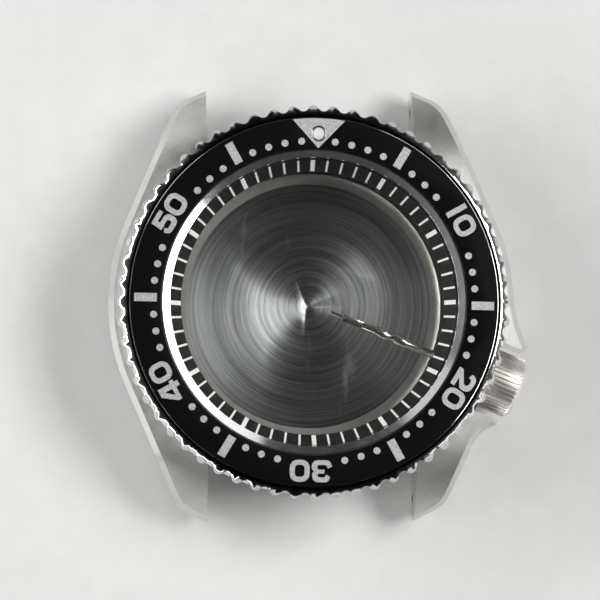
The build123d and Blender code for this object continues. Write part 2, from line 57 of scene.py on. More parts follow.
def pick(piece):
    deselectAll()
    piece.select_set(True)
    bpy.context.view_layer.objects.active = piece


def editAll(piece):
    pick(piece)
    bpy.ops.object.mode_set(mode="EDIT")
    bpy.ops.mesh.select_mode(type="VERT")
    bpy.ops.mesh.select_all(action="SELECT")


def objectMode():
    bpy.ops.object.mode_set(mode="OBJECT")


def giveMaterial(piece, *materials):
    piece.data.materials.clear()
    for material in materials:
        piece.data.materials.append(material)


def roundEdges(piece, width, angle, segments=2):
    pick(piece)
    bevel = piece.modifiers.new("edgeRound", "BEVEL")
    bevel.width = width
    bevel.segments = segments
    bevel.limit_method = "ANGLE"
    bevel.angle_limit = radians(angle)
    bpy.ops.object.modifier_apply(modifier=bevel.name)


def smoothFaces(piece, angle=30):
    pick(piece)
    bpy.ops.object.shade_smooth_by_angle(angle=radians(angle))
    weights = piece.modifiers.new("faceWeights", "WEIGHTED_NORMAL")
    weights.keep_sharp = True
    weights.weight = meshLook["faceWeight"]
    bpy.ops.object.modifier_apply(modifier=weights.name)


def surfaceNormals(piece, node):
    # away from the rounded edges, light follows the CAD's true curved faces
    pick(piece)
    bpy.ops.object.shade_smooth_by_angle(angle=radians(meshLook["smoothAngle"]))
    transfer = piece.modifiers.new("surfaceNormals", "DATA_TRANSFER")
    transfer.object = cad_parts[node]
    transfer.use_loop_data = True
    transfer.data_types_loops = {"CUSTOM_NORMAL"}
    transfer.loop_mapping = "NEAREST_POLYNOR"
    transfer.use_max_distance = True
    transfer.max_distance = meshLook["normalReach"]
    bpy.ops.object.modifier_apply(modifier=transfer.name)


def placeMesh(piece, matrix):
    # the place goes into the mesh, so the object itself stays at the origin
    piece.data.transform(matrix)
    piece.data.update()


def plainCopy(node, name):
    # stands for the CAD node and keeps its mesh as it is
    piece = bpy.data.objects.new(name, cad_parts[node].data.copy())
    scene.collection.objects.link(piece)
    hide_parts(node)
    return piece


def dressedCopy(node, edge=0.0, edgeAngle=20):
    # a merged copy of a CAD node, with softened edges, that stands for it
    piece = plainCopy(node, node + "Dressed")
    editAll(piece)
    bpy.ops.mesh.remove_doubles(threshold=meshLook["cadWeld"])
    bpy.ops.mesh.dissolve_limited(angle_limit=radians(meshLook["flatAngle"]))
    objectMode()
    bpy.ops.mesh.customdata_custom_splitnormals_clear()
    if edge:
        roundEdges(piece, edge, edgeAngle)
    surfaceNormals(piece, node)
    return piece


def turnedPiece(name, outline, steps, disc=False):
    # outline: (radius, height) corners; a disc gets a cap at each end, a ring closes on itself
    deselectAll()
    radius, height = outline[0]
    bpy.ops.mesh.primitive_circle_add(vertices=steps, radius=radius, fill_type="NOTHING")
    piece = bpy.context.object
    piece.name = name
    editAll(piece)
    bpy.ops.transform.translate(value=(0, 0, height))
    corners = outline[1:] if disc else outline[1:] + outline[:1]
    for nextRadius, nextHeight in corners:
        grow = nextRadius / radius
        bpy.ops.mesh.extrude_region()
        bpy.ops.transform.resize(value=(grow, grow, 1), center_override=(0, 0, 0))
        bpy.ops.transform.translate(value=(0, 0, nextHeight - height))
        radius, height = nextRadius, nextHeight
    if disc:
        bpy.ops.mesh.edge_face_add()
        bpy.ops.mesh.select_all(action="DESELECT")
        bpy.ops.mesh.select_non_manifold()
        bpy.ops.mesh.edge_face_add()
    bpy.ops.mesh.select_all(action="SELECT")
    bpy.ops.mesh.remove_doubles(threshold=meshLook["weld"])
    bpy.ops.mesh.normals_make_consistent(inside=False)
    objectMode()
    return piece


def flatPlate(name, outlines, thickness):
    # closed outlines of (x, y) points, filled and given a thickness; an outline inside another is a hole
    curve = bpy.data.curves.new(name, "CURVE")
    curve.dimensions = "2D"
    curve.fill_mode = "BOTH"
    curve.extrude = thickness / 2
    for outline in outlines:
        spline = curve.splines.new("POLY")
        spline.points.add(len(outline) - 1)
        for point, (x, y) in zip(spline.points, outline):
            point.co = (x, y, 0, 1)
        spline.use_cyclic_u = True
    piece = bpy.data.objects.new(name, curve)
    scene.collection.objects.link(piece)
    pick(piece)
    bpy.ops.object.convert(target="MESH")
    piece = bpy.context.object
    editAll(piece)
    bpy.ops.mesh.remove_doubles(threshold=meshLook["weld"])
    bpy.ops.mesh.normals_make_consistent(inside=False)
    objectMode()
    return piece


def roundedOutline(corners, steps=6):
    # corners: (x, y, radius); each corner with a radius becomes an arc
    outline = []
    count = len(corners)
    for index, (x, y, radius) in enumerate(corners):
        corner = Vector((x, y))
        before = (Vector(corners[index - 1][:2]) - corner).normalized()
        after = (Vector(corners[(index + 1) % count][:2]) - corner).normalized()
        if not radius:
            outline.append(tuple(corner))
            continue
        half = before.angle(after) / 2
        reach = radius / abs(sin(half)) * cos(half)
        middle = corner + (before + after).normalized() * radius / abs(sin(half))
        first = corner + before * reach - middle
        last = corner + after * reach - middle
        turn = first.angle_signed(last)
        for step in range(steps + 1):
            spoke = first.copy()
            spoke.rotate(Matrix.Rotation(-turn * step / steps, 2))
            outline.append(tuple(middle + spoke))
    return outline


def joinPieces(pieces, name):
    deselectAll()
    for piece in pieces:
        piece.select_set(True)
    bpy.context.view_layer.objects.active = pieces[0]
    bpy.ops.object.join()
    pieces[0].name = name
    return pieces[0]


def copyOf(piece):
    twin = bpy.data.objects.new(piece.name, piece.data.copy())
    scene.collection.objects.link(twin)
    return twin


def clockTurn(minute, lean=0.0):
    return Matrix.Rotation(-radians(minute * 6 + lean), 4, "Z")


# materials are made of nodes that read the object's own coordinates

socketTitles = {"color": "Base Color", "specular": "Specular IOR Level",
                "transmission": "Transmission Weight", "ior": "IOR"}


def newMaterial(name, **values):
    material = bpy.data.materials.new(name)
    material.use_nodes = True
    shader = material.node_tree.nodes["Principled BSDF"]
    for socket, value in values.items():
        title = socketTitles.get(socket, socket.capitalize())
        shader.inputs[title].default_value = (*value, 1) if isinstance(value, tuple) else value
    return material, material.node_tree, shader


def addNode(tree, kind, inputs=None, **settings):
    node = tree.nodes.new(kind)
    for key, value in settings.items():
        setattr(node, key, value)
    for key, value in (inputs or {}).items():
        if hasattr(value, "is_output"):
            tree.links.new(value, node.inputs[key])
        else:
            node.inputs[key].default_value = value
    return node


def objectPoint(tree, scale, turn=(0, 0, 0)):
    place = addNode(tree, "ShaderNodeTexCoord")
    mapping = addNode(tree, "ShaderNodeMapping", {
        "Vector": place.outputs["Object"], "Scale": scale, "Rotation": turn})
    return mapping.outputs["Vector"]


def ringPoint(tree, acrossScale, roundScale):
    # runs along the radius in the first coordinate and slowly round the axis in the other two
    place = addNode(tree, "ShaderNodeTexCoord")
    flat = addNode(tree, "ShaderNodeVectorMath", {
        0: place.outputs["Object"], 1: (1, 1, 0)}, operation="MULTIPLY")
    radius = addNode(tree, "ShaderNodeVectorMath", {0: flat.outputs[0]}, operation="LENGTH")
    spoke = addNode(tree, "ShaderNodeVectorMath", {0: flat.outputs[0]}, operation="NORMALIZE")
    parts = addNode(tree, "ShaderNodeSeparateXYZ", {0: spoke.outputs[0]})
    point = addNode(tree, "ShaderNodeCombineXYZ", {
        "X": radius.outputs["Value"], "Y": parts.outputs["X"], "Z": parts.outputs["Y"]})
    scaled = addNode(tree, "ShaderNodeVectorMath", {
        0: point.outputs[0], 1: (acrossScale, roundScale, roundScale)}, operation="MULTIPLY")
    return scaled.outputs[0]


def noiseOn(tree, point, detail, roughness=0.6):
    return addNode(tree, "ShaderNodeTexNoise", {
        "Vector": point, "Scale": 1.0, "Detail": detail, "Roughness": roughness})


def rangeOf(tree, value, low, high, fromLow=0.0, fromHigh=1.0):
    node = addNode(tree, "ShaderNodeMapRange", {
        "Value": value, "From Min": fromLow, "From Max": fromHigh, "To Min": low, "To Max": high})
    return node.outputs["Result"]


def colourBetween(tree, value, dark, light, fromLow=0.3, fromHigh=0.7):
    ramp = addNode(tree, "ShaderNodeValToRGB", {"Fac": value})
    ramp.color_ramp.elements[0].position = fromLow
    ramp.color_ramp.elements[0].color = (*dark, 1)
    ramp.color_ramp.elements[1].position = fromHigh
    ramp.color_ramp.elements[1].color = (*light, 1)
    return ramp.outputs["Color"]


def followStrokes(tree, shader):
    # turned and brushed steel spreads its highlights across the strokes, which run round Z
    tangent = addNode(tree, "ShaderNodeTangent", direction_type="RADIAL", axis="Z")
    tree.links.new(tangent.outputs[0], shader.inputs["Tangent"])
    shader.inputs["Anisotropic Rotation"].default_value = 0.25


def bumpFrom(tree, shader, height, strength, distance):
    bump = addNode(tree, "ShaderNodeBump", {"Height": height, "Strength": strength, "Distance": distance})
    tree.links.new(bump.outputs["Normal"], shader.inputs["Normal"])


# finishes that one grain makes: its colours, roughness and bump all follow the same noise

grainLooks = {
    "satinSteel": {"scale": 5000, "detail": 4, "dark": (0.80, 0.78, 0.74), "light": (0.94, 0.92, 0.88),
                   "roughness": (0.36, 0.46), "bump": 0.05, "values": {"metallic": 1.0}},
    # the rim's steel is lighter and partly diffuse, unlike the turned steel beside it, so it carries a
    # painted highlight
    "rimSteelPaintedSheen": {"scale": 900, "detail": 4, "dark": (0.72, 0.69, 0.65), "light": (0.86, 0.83, 0.79),
                 "roughness": (0.16, 0.26), "roughFrom": (0.3, 0.7), "bump": 0.04, "depth": 0.00001,
                 "values": {"metallic": 0.45, "ior": 2.5}},
    "springSteel": {"scale": 2500, "detail": 3, "dark": (0.60, 0.56, 0.51), "light": (0.80, 0.76, 0.70),
                    "roughness": (0.14, 0.24), "bump": 0.1, "values": {"metallic": 1.0}},
    "ringBlack": {"scale": 9000, "detail": 3, "dark": (0.009, 0.009, 0.0085), "light": (0.018, 0.018, 0.017),
                  "roughness": (0.5, 0.62), "bump": 0.15, "values": {"specular": 0.2}},
    "etchedMark": {"scale": 15000, "detail": 2, "rough": 0.8, "dark": (0.26, 0.265, 0.27),
                   "light": (0.88, 0.885, 0.88), "colourFrom": (0.36, 0.62), "roughness": (0.35, 0.6),
                   "bump": 0.3, "depth": 0.00003, "values": {"metallic": 0.35}},
    "tickWhite": {"scale": 6000, "detail": 2, "dark": (0.72, 0.71, 0.68), "light": (0.84, 0.83, 0.80),
                  "roughness": (0.4, 0.55), "bump": 0.1},
    "bevelGlass": {"scale": 700, "detail": 4, "dark": (0.42, 0.43, 0.44), "light": (0.52, 0.52, 0.525),
                   "roughness": (0.14, 0.22), "roughFrom": (0.3, 0.7), "bump": 0.03, "depth": 0.00001,
                   "values": {"metallic": 0.9}},
    "blackNylon": {"scale": 1500, "detail": 3, "dark": (0.025, 0.025, 0.024), "light": (0.05, 0.05, 0.048),
                   "roughness": (0.39, 0.51), "bump": 0.1},
    "blackRubber": {"scale": 3000, "detail": 3, "dark": (0.012, 0.012, 0.012), "light": (0.028, 0.028, 0.027),
                    "roughness": (0.54, 0.66), "bump": 0.1},
    "adhesiveFilm": {"scale": 1200, "detail": 3, "dark": (0.62, 0.61, 0.55), "light": (0.76, 0.75, 0.68),
                     "roughness": (0.44, 0.56), "bump": 0.1},
    "lumePaint": {"scale": 9000, "detail": 3, "dark": (0.80, 0.82, 0.80), "light": (0.90, 0.91, 0.89),
                  "roughness": (0.39, 0.51), "bump": 0.1},
}
bumpDepth = 0.00002


def grainFinish(name):
    look = grainLooks[name]
    material, tree, shader = newMaterial(name, **look.get("values", {}))
    point = objectPoint(tree, (look["scale"],) * 3)
    grain = noiseOn(tree, point, detail=look["detail"], roughness=look.get("rough", 0.6)).outputs[0]
    tint = colourBetween(tree, grain, look["dark"], look["light"], *look.get("colourFrom", (0.3, 0.7)))
    tree.links.new(tint, shader.inputs["Base Color"])
    wear = rangeOf(tree, grain, *look["roughness"], *look.get("roughFrom", (0.0, 1.0)))
    tree.links.new(wear, shader.inputs["Roughness"])
    bumpFrom(tree, shader, grain, look["bump"], look.get("depth", bumpDepth))
    return material


# finishes with strokes, hairlines or clouds of their own

def polishedSteel():
    material, tree, shader = newMaterial("polishedSteel", metallic=1.0)
    haze = noiseOn(tree, objectPoint(tree, (400, 400, 400)), detail=4)
    hairlines = noiseOn(tree, objectPoint(tree, (9000, 700, 9000), (0.3, 0.5, 0.9)), detail=2)
    tint = colourBetween(tree, haze.outputs[0], (0.60, 0.598, 0.59), (0.68, 0.675, 0.66))
    tree.links.new(tint, shader.inputs["Base Color"])
    tree.links.new(rangeOf(tree, haze.outputs[0], 0.05, 0.12, 0.3, 0.7), shader.inputs["Roughness"])
    bumpFrom(tree, shader, hairlines.outputs[0], 0.02, bumpDepth / 2)
    return material


def brushedSteel():
    # the strokes run round the case's axis
    material, tree, shader = newMaterial("brushedSteel", metallic=1.0, anisotropic=0.6)
    grain = noiseOn(tree, ringPoint(tree, 9000, 7), detail=5, roughness=0.75)
    patches = noiseOn(tree, objectPoint(tree, (320, 320, 320)), detail=3)
    tint = colourBetween(tree, grain.outputs[0], (0.72, 0.715, 0.70), (0.92, 0.91, 0.89))
    tree.links.new(tint, shader.inputs["Base Color"])
    tree.links.new(rangeOf(tree, patches.outputs[0], 0.50, 0.60, 0.3, 0.7), shader.inputs["Roughness"])
    followStrokes(tree, shader)
    bumpFrom(tree, shader, grain.outputs[0], 0.25, bumpDepth)
    return material


def turnedSteel():
    # fine grooves and wider bands run round the axis, with a few greasy smudges across them
    material, tree, shader = newMaterial("turnedSteel", metallic=1.0, anisotropic=0.88)
    grooves = noiseOn(tree, ringPoint(tree, 6000, 0.6), detail=5, roughness=0.75)
    bands = noiseOn(tree, ringPoint(tree, 3600, 0.5), detail=6, roughness=0.75)
    smudges = noiseOn(tree, objectPoint(tree, (330, 75, 1), (0, 0, 0.2)), detail=4)
    tint = colourBetween(tree, bands.outputs[0], (0.15, 0.153, 0.16), (0.48, 0.48, 0.475), 0.32, 0.68)
    greasy = rangeOf(tree, smudges.outputs[0], 0.0, 1.0, 0.62, 0.74)
    dulled = addNode(tree, "ShaderNodeMix", {0: greasy, 6: tint, 7: (0.60, 0.59, 0.58, 1)}, data_type="RGBA")
    tree.links.new(dulled.outputs[2], shader.inputs["Base Color"])
    turned = rangeOf(tree, bands.outputs[0], 0.31, 0.40)
    smeared = rangeOf(tree, greasy, 0.0, 0.10)
    wear = addNode(tree, "ShaderNodeMath", {0: turned, 1: smeared}, operation="ADD")
    tree.links.new(wear.outputs[0], shader.inputs["Roughness"])
    followStrokes(tree, shader)
    bumpFrom(tree, shader, grooves.outputs[0], 0.30, bumpDepth)
    return material


def insertBlack():
    material, tree, shader = newMaterial("insertBlack", specular=0.08)
    grain = noiseOn(tree, objectPoint(tree, (14000, 14000, 14000)), detail=3)
    cloud = noiseOn(tree, objectPoint(tree, (180, 180, 180)), detail=2)
    tint = colourBetween(tree, grain.outputs[0], (0.002, 0.002, 0.0022), (0.005, 0.005, 0.0052))
    tree.links.new(tint, shader.inputs["Base Color"])
    tree.links.new(rangeOf(tree, cloud.outputs[0], 0.42, 0.52), shader.inputs["Roughness"])
    bumpFrom(tree, shader, grain.outputs[0], 0.12, bumpDepth)
    return material


def mineralGlass():
    # light for the pieces inside passes straight through
    glassTint = (0.985, 0.992, 0.99)
    material, tree, shader = newMaterial("mineralGlass", color=glassTint, transmission=1.0, ior=1.52)
    smear = noiseOn(tree, objectPoint(tree, (140, 90, 140)), detail=5)
    tree.links.new(rangeOf(tree, smear.outputs[0], 0.0, 0.012, 0.62, 0.8), shader.inputs["Roughness"])
    clear = addNode(tree, "ShaderNodeBsdfTransparent", {"Color": (0.96, 0.97, 0.965, 1)})
    lightPath = addNode(tree, "ShaderNodeLightPath")
    mix = addNode(tree, "ShaderNodeMixShader", {
        0: lightPath.outputs["Is Shadow Ray"], 1: shader.outputs[0], 2: clear.outputs[0]})
    tree.links.new(mix.outputs[0], tree.nodes["Material Output"].inputs["Surface"])
    return material


finish = {
    "case_steel": polishedSteel(),
    "brushedSteel": brushedSteel(),
    "satinSteel": grainFinish("satinSteel"),
    "turned_steel": turnedSteel(),
    "rimSteelPaintedSheen": grainFinish("rimSteelPaintedSheen"),
    "spring_steel": grainFinish("springSteel"),
    "insert_black": insertBlack(),
    "ring_black": grainFinish("ringBlack"),
    "etchedMark": grainFinish("etchedMark"),
    "tickWhite": grainFinish("tickWhite"),
    "mineral_glass": mineralGlass(),
    "bevelGlass": grainFinish("bevelGlass"),
    "nylon": grainFinish("blackNylon"),
    "black_rubber": grainFinish("blackRubber"),
    "adhesive_film": grainFinish("adhesiveFilm"),
    "lume": grainFinish("lumePaint"),
}
finish["polished_steel"] = finish["case_steel"]
print("finishes made")


# the case middle: brushed tops, polished bevels and sides

caseLook = {"flatSlope": 0.78, "topSlope": 0.5, "sideLean": 0.1, "bezelReach": 20.6 * mm,
            "wallReach": 18.5 * mm, "wallTop": 8.6 * mm}


def isBrushed(face, vertices):
    reach = max(vertices[index].co.xy.length for index in face.vertices)
    slope, lean = face.normal.z, abs(face.normal.x)
    isFlat = slope > caseLook["flatSlope"]
    isLugSlope = slope > caseLook["topSlope"] and lean < caseLook["sideLean"]
    return reach > caseLook["bezelReach"] and (isFlat or isLugSlope)


case = plainCopy("mid_case", "midCaseDressed")
giveMaterial(case, finish["case_steel"], finish["brushedSteel"], finish["turned_steel"])
for face in case.data.polygons:
    # the inner walls are left as turned
    inside = face.center.xy.length < caseLook["wallReach"] and face.center.z < caseLook["wallTop"]
    face.material_index = 2 if inside else int(isBrushed(face, case.data.vertices))
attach(case, "case")
print("case middle done")


# bezel, insert and pip

bezelLook = {"edge": 0.03 * mm, "edgeAngle": 35, "insertEdge": 0.01 * mm, "pipEdge": 0.02 * mm,
             "insertRim": 19.1 * mm, "rimTilt": (0.3, 0.95)}

bezel = dressedCopy("bezel", bezelLook["edge"], bezelLook["edgeAngle"])
giveMaterial(bezel, finish["polished_steel"])
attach(bezel, "turning_bezel")

insert = dressedCopy("bezel_insert", bezelLook["insertEdge"])
giveMaterial(insert, finish["insert_black"], finish["polished_steel"])
lowTilt, highTilt = bezelLook["rimTilt"]
for face in insert.data.polygons:
    # the bare metal bevel round the black face
    tilted = lowTilt < face.normal.z < highTilt
    face.material_index = int(tilted and face.center.xy.length > bezelLook["insertRim"])
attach(insert, "turning_bezel")

pipCup = dressedCopy("pip_cup", bezelLook["pipEdge"])
giveMaterial(pipCup, finish["polished_steel"])
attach(pipCup, "turning_bezel")

pipLume = dressedCopy("pip_lume", bezelLook["pipEdge"])
giveMaterial(pipLume, finish["lume"])
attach(pipLume, "turning_bezel")
print("bezel done")


# marks on the insert

markLook = {
    "thickness": 0.03 * mm, "rise": 0.3, "lean": 1.6, "numeralBase": 16.40,
    "dotRadius": 0.365 * mm, "dotPlace": 16.73 * mm, "dotSteps": 32,
    "barWidth": 0.87 * mm, "barInner": 16.35 * mm, "barOuter": 18.70 * mm,
    "triangleHalf": 2.74 * mm, "triangleOuter": 19.08 * mm, "triangleApex": 15.95 * mm,
    "triangleSteps": 12, "pipRoom": 0.84 * mm, "edge": 0.012 * mm, "edgeAngle": 50,
}

# outlines in mm from the lower left corner of each figure: x, y and the corner's radius
figureShapes = {
    "0": [[(0, 0, 0.85), (2.08, 0, 0.85), (2.08, 2.28, 0.85), (0, 2.28, 0.85)],
          [(0.54, 0.52, 0.36), (0.54, 1.76, 0.36), (1.54, 1.76, 0.36), (1.54, 0.52, 0.36)]],
    "1": [[(0, 0, 0), (0.58, 0, 0), (0.58, 2.28, 0), (0, 2.28, 0)]],
    "2": [[(0, 0, 0), (1.98, 0, 0), (1.98, 0.5, 0), (0.98, 0.5, 0), (1.98, 1.10, 0.45), (1.98, 2.28, 0.72),
           (0.26, 2.28, 0.62), (0.02, 1.60, 0), (0.50, 1.38, 0), (0.62, 1.77, 0.22), (1.38, 1.77, 0.28),
           (1.38, 1.32, 0.2), (0, 0.45, 0)]],
    "3": [[(0, 0.62, 0), (0.30, 0, 0.45), (2.13, 0, 0.62), (2.13, 1.14, 0.42), (1.86, 1.16, 0),
           (2.07, 1.20, 0.35), (2.07, 2.28, 0.60), (0.40, 2.28, 0.45), (0.20, 1.72, 0), (0.62, 1.46, 0),
           (0.72, 1.77, 0.18), (1.50, 1.77, 0.2), (1.50, 1.38, 0.16), (0.80, 1.38, 0), (0.80, 0.98, 0),
           (1.55, 0.98, 0.2), (1.55, 0.5, 0.22), (0.62, 0.5, 0.24), (0.46, 0.84, 0)]],
    "4": [[(1.35, 0, 0), (1.92, 0, 0), (1.92, 0.42, 0), (2.20, 0.42, 0), (2.20, 0.88, 0), (1.92, 0.88, 0),
           (1.92, 2.28, 0), (1.03, 2.28, 0), (0, 0.85, 0), (0, 0.42, 0), (1.35, 0.42, 0)],
          [(0.64, 0.88, 0), (1.34, 1.72, 0), (1.34, 0.88, 0)]],
    "5": [[(0, 0.62, 0), (0.32, 0, 0.42), (2.0, 0, 0.62), (2.0, 1.52, 0.62), (0.70, 1.52, 0.1),
           (0.70, 1.80, 0), (1.80, 1.80, 0), (1.80, 2.28, 0), (0.18, 2.28, 0), (0.10, 1.02, 0),
           (0.58, 0.96, 0), (0.72, 1.04, 0.08), (1.42, 1.04, 0.24), (1.42, 0.5, 0.24), (0.62, 0.5, 0.2),
           (0.46, 0.86, 0)]],
}
figureWidths = {"0": 2.08, "1": 0.58, "2": 1.98, "3": 2.13, "4": 2.20, "5": 2.00}
numeralGaps = {10: 0.45, 20: 0.17, 30: 0.20, 40: 0.17, 50: 0.13}
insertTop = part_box("bezel_insert")[1].z
markRise = insertTop + markLook["thickness"] * markLook["rise"]


def onInsert(minute):
    return clockTurn(minute, markLook["lean"]) @ Matrix.Translation((0, 0, markRise))


def softenMark(piece):
    roundEdges(piece, markLook["edge"], markLook["edgeAngle"], segments=1)
    giveMaterial(piece, finish["etchedMark"])
    smoothFaces(piece)


def makeFigure(figure):
    outlines = []
    for shape in figureShapes[figure]:
        outlines.append([(x * mm, y * mm) for x, y in roundedOutline(shape)])
    piece = flatPlate("figure" + figure, outlines, markLook["thickness"])
    softenMark(piece)
    return piece


def makeNumeral(value):
    tens, ones = str(value)
    gap = numeralGaps[value]
    width = figureWidths[tens] + gap + figureWidths[ones]
    numeral = []
    for figure, start in ((tens, 0), (ones, figureWidths[tens] + gap)):
        piece = makeFigure(figure)
        shift = Matrix.Translation(((start - width / 2) * mm, markLook["numeralBase"] * mm, 0))
        placeMesh(piece, onInsert(value) @ shift)
        numeral.append(piece)
    return numeral


def makeDot():
    deselectAll()
    bpy.ops.mesh.primitive_cylinder_add(
        vertices=markLook["dotSteps"], radius=markLook["dotRadius"], depth=markLook["thickness"])
    dot = bpy.context.object
    softenMark(dot)
    placeMesh(dot, Matrix.Translation((0, markLook["dotPlace"], 0)))
    return dot


def makeBar():
    half = markLook["barWidth"] / 2
    low, high = markLook["barInner"], markLook["barOuter"]
    bar = flatPlate("bar", [[(-half, low), (half, low), (half, high), (-half, high)]], markLook["thickness"])
    softenMark(bar)
    return bar


def makeTriangle():
    outer, half = markLook["triangleOuter"], markLook["triangleHalf"]
    steps, holeSteps = markLook["triangleSteps"], markLook["dotSteps"]
    base = []
    for step in range(steps + 1):
        angle = half / outer * (1 - 2 * step / steps)
        base.append((outer * sin(angle), outer * cos(angle)))
    cupLow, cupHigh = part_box("pip_cup")
    pipPlace = (Vector(cupLow).xy + Vector(cupHigh).xy).length / 2
    hole = []
    for step in range(holeSteps):
        angle = 2 * pi * step / holeSteps
        hole.append((markLook["pipRoom"] * cos(angle), pipPlace + markLook["pipRoom"] * sin(angle)))
    triangle = flatPlate("triangle", [base + [(0, markLook["triangleApex"])], hole], markLook["thickness"])
    softenMark(triangle)
    return triangle


marks = []
for value in (10, 20, 30, 40, 50):
    marks += makeNumeral(value)
dot = makeDot()
bar = makeBar()
for minute in range(1, 60):
    nearNumeral = min(minute % 10, 10 - minute % 10) <= 1 and 5 < minute < 55
    if minute % 5 == 0 or nearNumeral:
        continue
    twin = copyOf(dot)
    placeMesh(twin, onInsert(minute))
    marks.append(twin)
for minute in range(5, 60, 10):
    twin = copyOf(bar)
    placeMesh(twin, onInsert(minute))
    marks.append(twin)
triangle = makeTriangle()
placeMesh(triangle, onInsert(0))
marks.append(triangle)
for piece in (dot, bar):
    bpy.data.objects.remove(piece)
insertMarks = joinPieces(marks, "insertMarks")
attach(insertMarks, "turning_bezel")
print("insert marks done")


# crystal, chapter ring and its ticks

crystalLow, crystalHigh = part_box("crystal")
crystalLook = {"bevelWidth": 0.8 * mm, "bevelDepth": 0.5 * mm, "baseBevel": 0.1 * mm,
               "edge": 0.03 * mm, "edgeDrop": 0.02 * mm, "bevelTilt": (0.7, 0.9),
               "steps": 360, "smoothAngle": 12}
radius = crystalHigh.x
flatRadius = radius - crystalLook["bevelWidth"]
crystal = turnedPiece("crystalClear", [
    (radius - crystalLook["baseBevel"], crystalLow.z), (radius, crystalLow.z + crystalLook["baseBevel"]),
    (radius, crystalHigh.z - crystalLook["bevelDepth"]),
    (flatRadius + crystalLook["edge"], crystalHigh.z - crystalLook["edgeDrop"]),
    (flatRadius - crystalLook["edge"], crystalHigh.z)], steps=crystalLook["steps"], disc=True)
smoothFaces(crystal, crystalLook["smoothAngle"])
giveMaterial(crystal, finish["mineral_glass"], finish["bevelGlass"])
lowTilt, highTilt = crystalLook["bevelTilt"]
for face in crystal.data.polygons:
    # the ground bevel mirrors the lamps, so little shows through it
    face.material_index = int(lowTilt < face.normal.z < highTilt)
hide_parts("crystal")
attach(crystal, "case")

ringLow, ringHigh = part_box("chapter_ring")
ringLook = {"inner": 13.8 * mm, "brim": 14.9 * mm, "innerEdge": 0.25 * mm, "edge": 0.03 * mm,
            "edgeAngle": 25, "steps": 360, "smoothAngle": 20,
            "tickWidth": 0.22 * mm, "longTickWidth": 0.46 * mm, "tickThickness": 0.02 * mm,
            "tickRoom": 0.03, "tickEdge": 0.008 * mm, "tickEdgeAngle": 50}
chapterRing = turnedPiece("chapterRingSloped", [
    (ringLook["inner"], ringLow.z), (ringHigh.x, ringLow.z), (ringHigh.x, ringHigh.z),
    (ringLook["brim"], ringHigh.z), (ringLook["inner"], ringLow.z + ringLook["innerEdge"])],
    steps=ringLook["steps"])
roundEdges(chapterRing, ringLook["edge"], ringLook["edgeAngle"])
smoothFaces(chapterRing, ringLook["smoothAngle"])
giveMaterial(chapterRing, finish["ring_black"])
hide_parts("chapter_ring")
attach(chapterRing, "case")


def makeTick(width):
    # a thin bar of paint that lies on the ring's slope
    inner = Vector((0, ringLook["inner"], ringLow.z + ringLook["innerEdge"]))
    outer = Vector((0, ringLook["brim"], ringHigh.z))
    slope = outer - inner
    length = slope.length * (1 - 2 * ringLook["tickRoom"])
    x, y = width / 2, length / 2
    tick = flatPlate("tick", [[(-x, -y), (x, -y), (x, y), (-x, y)]], ringLook["tickThickness"])
    roundEdges(tick, ringLook["tickEdge"], ringLook["tickEdgeAngle"], segments=1)
    giveMaterial(tick, finish["tickWhite"])
    tilt = Matrix.Rotation(slope.angle(Vector((0, 1, 0))), 4, "X")
    placeMesh(tick, Matrix.Translation((inner + outer) / 2) @ tilt)
    return tick


shortTick = makeTick(ringLook["tickWidth"])
longTick = makeTick(ringLook["longTickWidth"])
ticks = []
for minute in range(60):
    twin = copyOf(longTick if minute % 5 == 0 else shortTick)
    placeMesh(twin, clockTurn(minute))
    ticks.append(twin)
for piece in (shortTick, longTick):
    bpy.data.objects.remove(piece)
minuteTicks = joinPieces(ticks, "minuteTicks")
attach(minuteTicks, "case")
print("crystal and chapter ring done")


# case back, crown and stem

# the body that each piece rides on, its slot, its finish and how far its edges are softened
partLook = {
    "case_back": ("back", "turned_steel", "turned_steel", 0.02 * mm),
    "crown_shell": ("crown", "polished_steel", "satinSteel", 0.018 * mm),
    "winding_stem": ("stem", "spring_steel", "spring_steel", 0.02 * mm),
    "crystal_gasket": ("case", "nylon", "nylon", 0.03 * mm),
    "crown_tube": ("case", "polished_steel", "polished_steel", 0.02 * mm),
    "crown_post": ("stem", "polished_steel", "polished_steel", 0.02 * mm),
    "crown_spring": ("crown", "spring_steel", "spring_steel", 0.0),
    "click_spring": ("case", "spring_steel", "spring_steel", 0.02 * mm),
}
dressed = {}
for node, (body, slot, look, edge) in partLook.items():
    piece = dressedCopy(node, edge)
    giveMaterial(piece, finish[look])
    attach(piece, body)
    dressed[node] = piece

rimLook = {"inner": 13.1 * mm, "outer": 14.3 * mm, "low": 1.0 * mm, "high": 1.85 * mm, "tilt": (0.6, 0.95),
           "wallInner": 16.6 * mm, "wallOuter": 17.3 * mm, "wallTilt": 0.2}


def isBright(face):
    # the sloped rim round the raised floor and the wall beyond it; their lighter, partly diffuse steel is a
    # painted highlight standing in for the lamps' reflection
    spread, height, tilt = face.center.xy.length, face.center.z, face.normal.z
    onRim = rimLook["inner"] < spread < rimLook["outer"] and rimLook["low"] < height < rimLook["high"]
    sloped = rimLook["tilt"][0] < tilt < rimLook["tilt"][1]
    onWall = rimLook["wallInner"] < spread < rimLook["wallOuter"] and abs(tilt) < rimLook["wallTilt"]
    return (onRim and sloped) or onWall


caseBack = dressed["case_back"]
# the rim and the wall beyond it take the lighter steel, a painted highlight
giveMaterial(caseBack, finish["turned_steel"], finish["rimSteelPaintedSheen"])
for face in caseBack.data.polygons:
    face.material_index = int(isBright(face))

# these stay the CAD nodes' own meshes
slotOf = {"crown_washer": "spring_steel", "crown_gasket": "black_rubber", "post_gasket": "black_rubber",
          "bezel_gasket": "black_rubber", "case_back_gasket": "black_rubber",
          "insert_adhesive": "adhesive_film"}
for node, slot in slotOf.items():
    giveMaterial(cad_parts[node], finish[slot])
print("case back, crown and stem done")


# floor, light and camera

